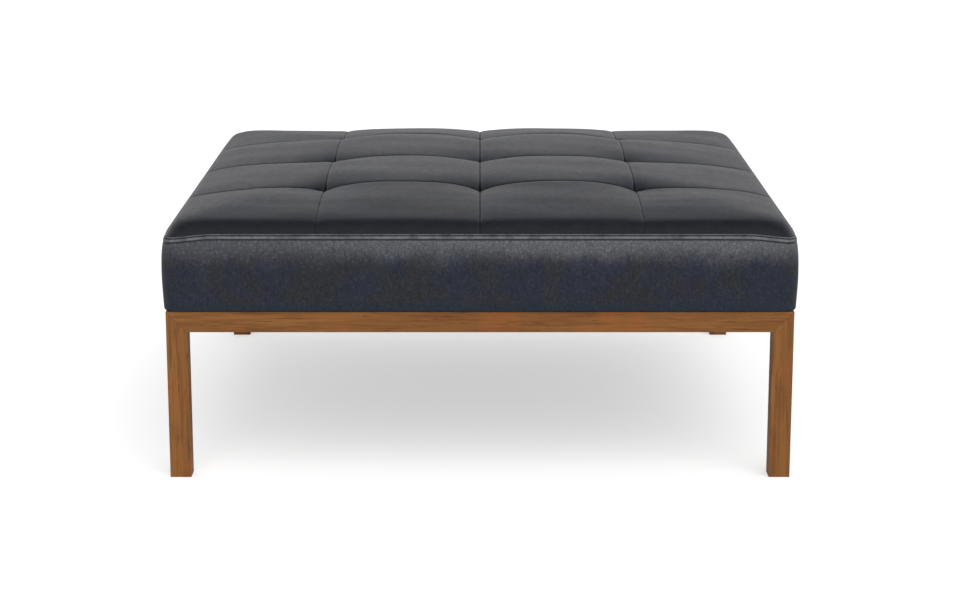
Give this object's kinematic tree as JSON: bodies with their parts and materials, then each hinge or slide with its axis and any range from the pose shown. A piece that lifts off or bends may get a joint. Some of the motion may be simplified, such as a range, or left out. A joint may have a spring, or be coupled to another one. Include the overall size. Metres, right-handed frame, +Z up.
{
  "type": "ottoman coffee table",
  "caption": "Square low ottoman coffee table: biscuit-tufted leather cushion with a welted box side on a mitred square-stock walnut base.",
  "frame": {"origin": "on the floor, under the middle of the table", "axes": "+Z up, the front faces -Y, X runs along the width"},
  "size_m": [0.9624, 0.9624, 0.43],
  "materials": {
    "leg_wood": "satin oiled walnut brown",
    "rail_wood": "satin oiled walnut brown",
    "block_wood": "bare sawn hardwood",
    "tenon_wood": "bare hardwood",
    "frame_wood": "bare planed softwood",
    "deck_plywood": "bare plywood",
    "felt": "pressed felt",
    "foam": "open cell foam",
    "batting": "soft polyester fibre",
    "top_leather": "distressed satin, grey sheen",
    "boxing_leather": "distressed satin, blue mottling",
    "welt_leather": "distressed satin",
    "twine": "waxed twine",
    "dust_cloth": "black woven dust cloth",
    "steel": "bright zinc"
  },
  "bodies": {
    "root": {"base_block_back_left": "block_wood", "base_block_back_right": "block_wood", "base_block_front_left": "block_wood", "base_block_front_right": "block_wood", "boxing_back": "boxing_leather", "boxing_front": "boxing_leather", "boxing_left": "boxing_leather", "boxing_right": "boxing_leather", "corner_tenons": "tenon_wood", "cross_rail_left": "frame_wood", "cross_rail_right": "frame_wood", "cushion_bolts": "steel", "deck_board": "deck_plywood", "dust_cover": "dust_cloth", "foam_slab": "foam", "foot_pads": "felt", "frame_back": "frame_wood", "frame_front": "frame_wood", "frame_left": "frame_wood", "frame_right": "frame_wood", "frame_tenons": "tenon_wood", "leg_back_left": "leg_wood", "leg_back_right": "leg_wood", "leg_front_left": "leg_wood", "leg_front_right": "leg_wood", "nut_plates": "steel", "panel_pads": "batting", "rail_back": "rail_wood", "rail_front": "rail_wood", "rail_left": "rail_wood", "rail_right": "rail_wood", "side_batting": "batting", "top_block_back_left": "frame_wood", "top_block_back_right": "frame_wood", "top_block_front_left": "frame_wood", "top_block_front_right": "frame_wood", "top_panels_back": "top_leather", "top_panels_front": "top_leather", "top_panels_mid_back": "top_leather", "top_panels_mid_front": "top_leather", "tuft_anchors": "felt", "tuft_twines": "twine", "washers": "steel", "welt": "welt_leather"}
  },
  "joints": []
}
